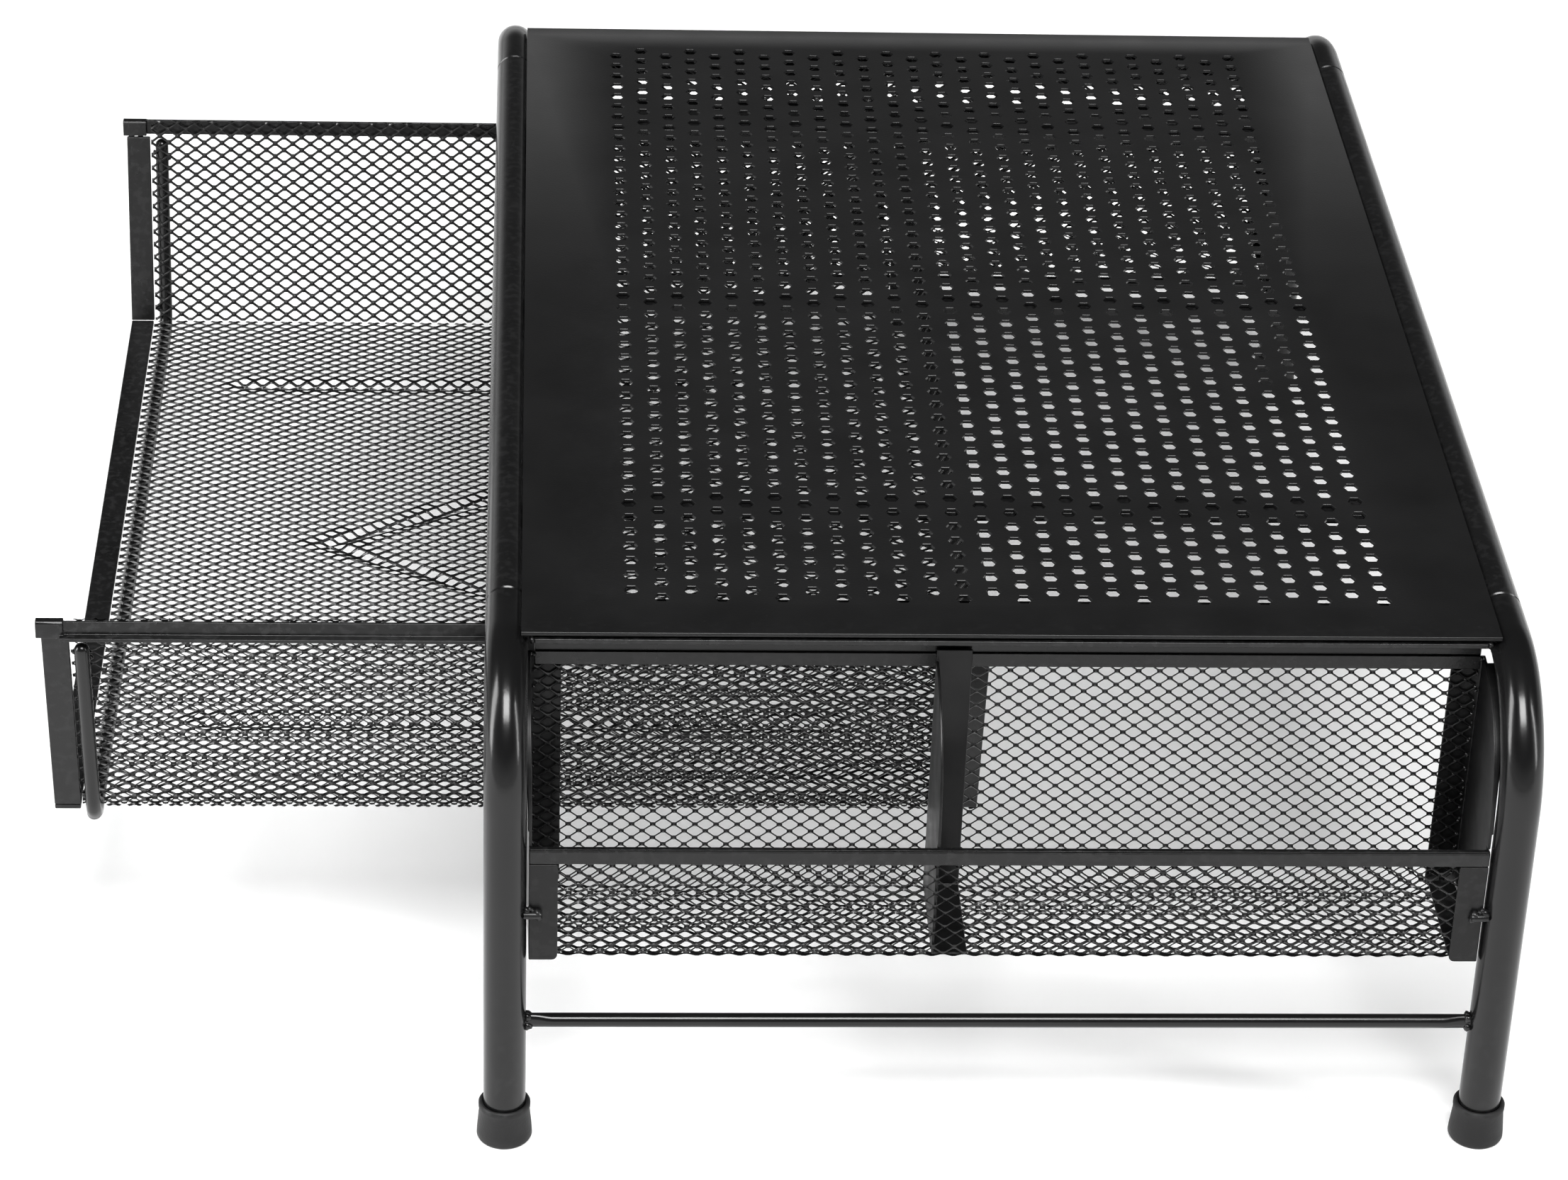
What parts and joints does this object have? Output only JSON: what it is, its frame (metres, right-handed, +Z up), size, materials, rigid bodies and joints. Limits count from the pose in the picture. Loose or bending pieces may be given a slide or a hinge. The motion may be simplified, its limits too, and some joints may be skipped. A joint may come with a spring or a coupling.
{
  "type": "monitor riser stand",
  "caption": "Steel tube monitor riser with a perforated platform, an open-front sliding mesh drawer and an open mesh bin with a divider at each end.",
  "frame": {"origin": "bottom centre of the whole object's box with the drawer partly pulled out; the feet stand on z = 0 and the middle of the stand itself is 62.4 mm along +X", "axes": "+Z up, -X is the front where the drawer comes out, +Y towards the left bin for a person at the front, the long way of the platform"},
  "size_m": [0.4206, 0.4666, 0.152],
  "materials": {
    "black_tube_paint": "semi-gloss black powder coat on steel tube and rod",
    "black_sheet_paint": "satin black powder coat on steel sheet and strip",
    "black_mesh_paint": "satin black powder coat on expanded steel mesh",
    "foot_rubber": "matt dark grey rubber"
  },
  "bodies": {
    "stand": {"back_top_tube": "black_tube_paint", "cross_brace_left": "black_sheet_paint", "cross_brace_middle": "black_sheet_paint", "cross_brace_right": "black_sheet_paint", "drawer_rail_left": "black_sheet_paint", "drawer_rail_right": "black_sheet_paint", "foot_cap_back_left": "foot_rubber", "foot_cap_back_right": "foot_rubber", "foot_cap_front_left": "foot_rubber", "foot_cap_front_right": "foot_rubber", "front_top_tube": "black_tube_paint", "left_bin_basket_mesh": "black_mesh_paint", "left_bin_divider": "black_sheet_paint", "left_bin_end_plate_back": "black_sheet_paint", "left_bin_end_plate_front": "black_sheet_paint", "left_bin_lip_bar": "black_sheet_paint", "left_bin_stud_back": "black_sheet_paint", "left_bin_stud_front": "black_sheet_paint", "left_bin_top_rail": "black_sheet_paint", "leg_back_left": "black_tube_paint", "leg_back_right": "black_tube_paint", "leg_front_left": "black_tube_paint", "leg_front_right": "black_tube_paint", "lower_cross_rod_left": "black_tube_paint", "lower_cross_rod_right": "black_tube_paint", "platform": "black_sheet_paint", "right_bin_basket_mesh": "black_mesh_paint", "right_bin_divider": "black_sheet_paint", "right_bin_end_plate_back": "black_sheet_paint", "right_bin_end_plate_front": "black_sheet_paint", "right_bin_lip_bar": "black_sheet_paint", "right_bin_stud_back": "black_sheet_paint", "right_bin_stud_front": "black_sheet_paint", "right_bin_top_rail": "black_sheet_paint"},
    "drawer": {"drawer_back_mesh": "black_mesh_paint", "drawer_back_post_left": "black_sheet_paint", "drawer_back_post_right": "black_sheet_paint", "drawer_floor_mesh": "black_mesh_paint", "drawer_front_post_left": "black_sheet_paint", "drawer_front_post_right": "black_sheet_paint", "drawer_front_sill": "black_sheet_paint", "drawer_rim_back": "black_sheet_paint", "drawer_rim_left": "black_sheet_paint", "drawer_rim_right": "black_sheet_paint", "drawer_side_mesh_left": "black_mesh_paint", "drawer_side_mesh_right": "black_mesh_paint", "drawer_u_rod": "black_tube_paint"}
  },
  "joints": [
    {"name": "drawer_slide", "type": "slide", "parent": "stand", "child": "drawer", "axis": [-1, 0, 0], "range_m": [-0.1355, 0.09]}
  ]
}
